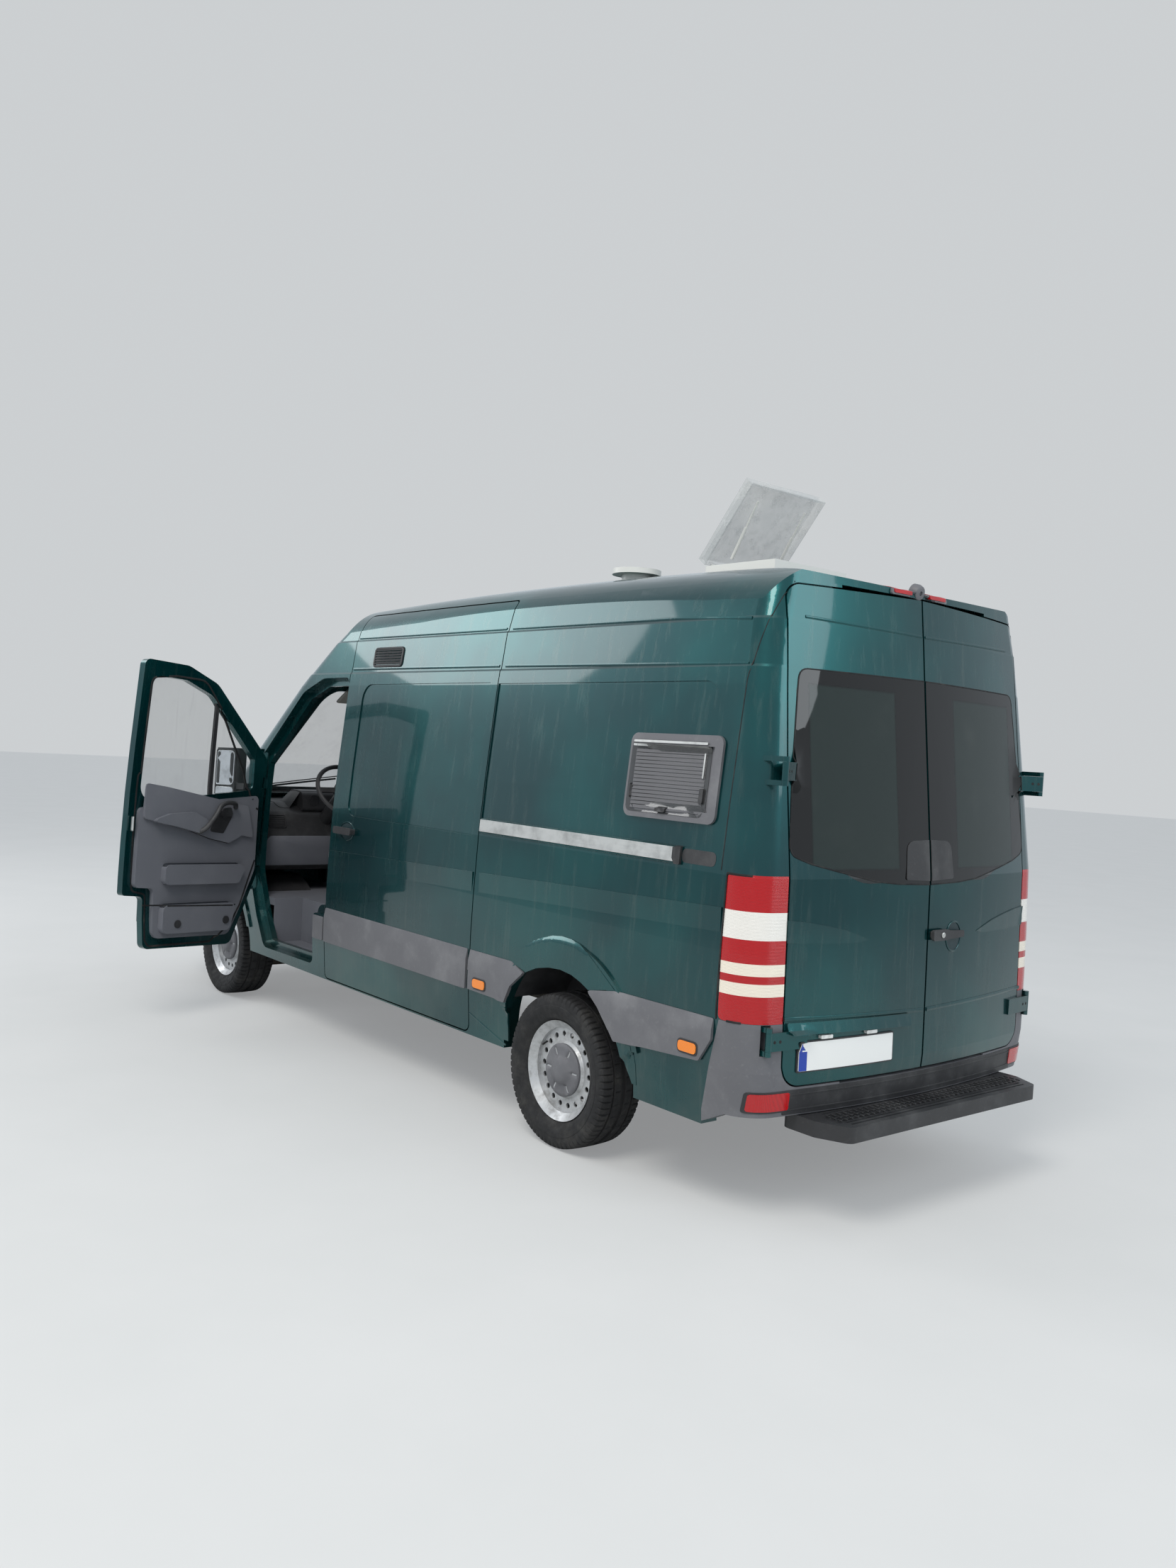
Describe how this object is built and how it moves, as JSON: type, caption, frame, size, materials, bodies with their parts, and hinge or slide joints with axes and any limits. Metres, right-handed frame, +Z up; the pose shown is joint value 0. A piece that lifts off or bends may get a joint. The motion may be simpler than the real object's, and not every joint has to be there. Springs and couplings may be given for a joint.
{
  "type": "high-roof camper van",
  "caption": "High-roof panel van turned into a camper, with opening cab, rear and bonnet panels, tilting roof hatch, side window and rear step.",
  "frame": {"origin": "On the ground at the middle of the whole box. The open left cab door widens that box, so the van's own centre plane is at y = -0.357 m, and the front axle is at x = 2.028 m.", "axes": "+X to the front of the van, +Y to its left side, +Z up"},
  "size_m": [6.0638, 3.1742, 3.0819],
  "materials": {
    "paint": "gloss",
    "trim": "matte",
    "grey_trim": "matte",
    "glass": "gloss",
    "clear_plastic": "gloss",
    "lamp": "gloss",
    "white_plastic": "satin",
    "steel": "satin",
    "rim": "satin",
    "tyre": "matte",
    "iron": "rough",
    "alloy": "satin",
    "fabric": "woven"
  },
  "bodies": {
    "body": {"cab_shell": "paint", "side_panels": "paint", "roof_panel": "paint", "floor_pan": "grey_trim", "wheel_liners": "trim", "front_wings": "paint", "front_bumper": "trim", "front_grille": "trim", "headlamps": "glass", "windscreen": "glass", "sliding_doors": "paint", "slide_rails": "alloy", "camper_window": "trim", "rear_bumper": "grey_trim", "rear_step": "trim", "tail_lamps": "lamp", "roof_vent": "white_plastic", "hatch_frame": "white_plastic", "dashboard": "trim", "seat_pedestals": "trim", "cab_seats": "fabric", "chassis_frame": "steel", "engine_block": "iron", "front_axle": "steel", "rear_axle": "steel", "fuel_tank": "trim"},
    "bonnet": {"bonnet": "paint"},
    "roof_hatch": {"hatch_lid": "clear_plastic"},
    "steering": {"steering_wheel": "trim"},
    "knuckle_left": {"knuckle_left": "iron"},
    "wheel_front_left": {"rim_front_left": "rim", "tyre_front_left": "tyre"},
    "wheel_rear_left": {"rim_rear_left": "rim", "tyre_rear_left": "tyre"},
    "cab_door_left": {"cab_door_left": "paint", "cab_glass_left": "glass", "door_trim_left": "grey_trim", "mirror_left": "trim"},
    "rear_door_left": {"rear_door_left": "paint", "rear_glass_left": "glass"},
    "knuckle_right": {"knuckle_right": "iron"},
    "wheel_front_right": {"rim_front_right": "rim", "tyre_front_right": "tyre"},
    "wheel_rear_right": {"rim_rear_right": "rim", "tyre_rear_right": "tyre"},
    "cab_door_right": {"cab_door_right": "paint", "cab_glass_right": "glass", "door_trim_right": "grey_trim", "mirror_right": "trim"},
    "rear_door_right": {"rear_door_right": "paint", "rear_glass_right": "glass"}
  },
  "joints": [
    {"name": "steering_wheel_turn", "type": "hinge", "parent": "body", "child": "steering", "pos_m": [1.438, 0.063, 1.42], "axis": [-0.788, 0, 0.6157], "range_deg": [-540, 540]},
    {"name": "bonnet_lift", "type": "hinge", "parent": "body", "child": "bonnet", "pos_m": [2.378, -0.357, 1.318], "axis": [0, -1, 0], "range_deg": [0, 62]},
    {"name": "roof_hatch_tilt", "type": "hinge", "parent": "body", "child": "roof_hatch", "pos_m": [-1.662, -0.357, 2.702], "axis": [0, 1, 0], "range_deg": [-51, 9]},
    {"name": "steer_left", "type": "hinge", "parent": "body", "child": "knuckle_left", "pos_m": [2.028, 0.433, 0.346], "axis": [0, 0, 1], "range_deg": [-34.1, 34.1]},
    {"name": "front_wheel_left_spin", "type": "hinge", "parent": "knuckle_left", "child": "wheel_front_left", "pos_m": [2.028, 0.498, 0.346], "axis": [0, 1, 0], "continuous": true},
    {"name": "rear_wheel_left_spin", "type": "hinge", "parent": "body", "child": "wheel_rear_left", "pos_m": [-1.637, 0.501, 0.346], "axis": [0, 1, 0], "continuous": true},
    {"name": "cab_door_left_swing", "type": "hinge", "parent": "body", "child": "cab_door_left", "pos_m": [1.598, 0.605, 1], "axis": [0, 0.0436, -0.999], "range_deg": [-71, 8]},
    {"name": "rear_door_left_swing", "type": "hinge", "parent": "body", "child": "rear_door_left", "pos_m": [-2.81, 0.531, 1.3], "axis": [0, 0, -1], "range_deg": [0, 180]},
    {"name": "steer_right", "type": "hinge", "parent": "body", "child": "knuckle_right", "pos_m": [2.028, -1.147, 0.346], "axis": [0, 0, 1], "range_deg": [-34.1, 34.1]},
    {"name": "front_wheel_right_spin", "type": "hinge", "parent": "knuckle_right", "child": "wheel_front_right", "pos_m": [2.028, -1.212, 0.346], "axis": [0, 1, 0], "continuous": true},
    {"name": "rear_wheel_right_spin", "type": "hinge", "parent": "body", "child": "wheel_rear_right", "pos_m": [-1.637, -1.215, 0.346], "axis": [0, 1, 0], "continuous": true},
    {"name": "cab_door_right_swing", "type": "hinge", "parent": "body", "child": "cab_door_right", "pos_m": [1.598, -1.319, 1], "axis": [0, 0.0436, 0.999], "range_deg": [0, 79]},
    {"name": "rear_door_right_swing", "type": "hinge", "parent": "body", "child": "rear_door_right", "pos_m": [-2.81, -1.245, 1.3], "axis": [0, 0, 1], "range_deg": [0, 180]}
  ],
  "couplings": [
    {"joint": "steer_left", "follows": "steering_wheel_turn", "ratio": 0.062963},
    {"joint": "steer_right", "follows": "steering_wheel_turn", "ratio": 0.062963}
  ]
}
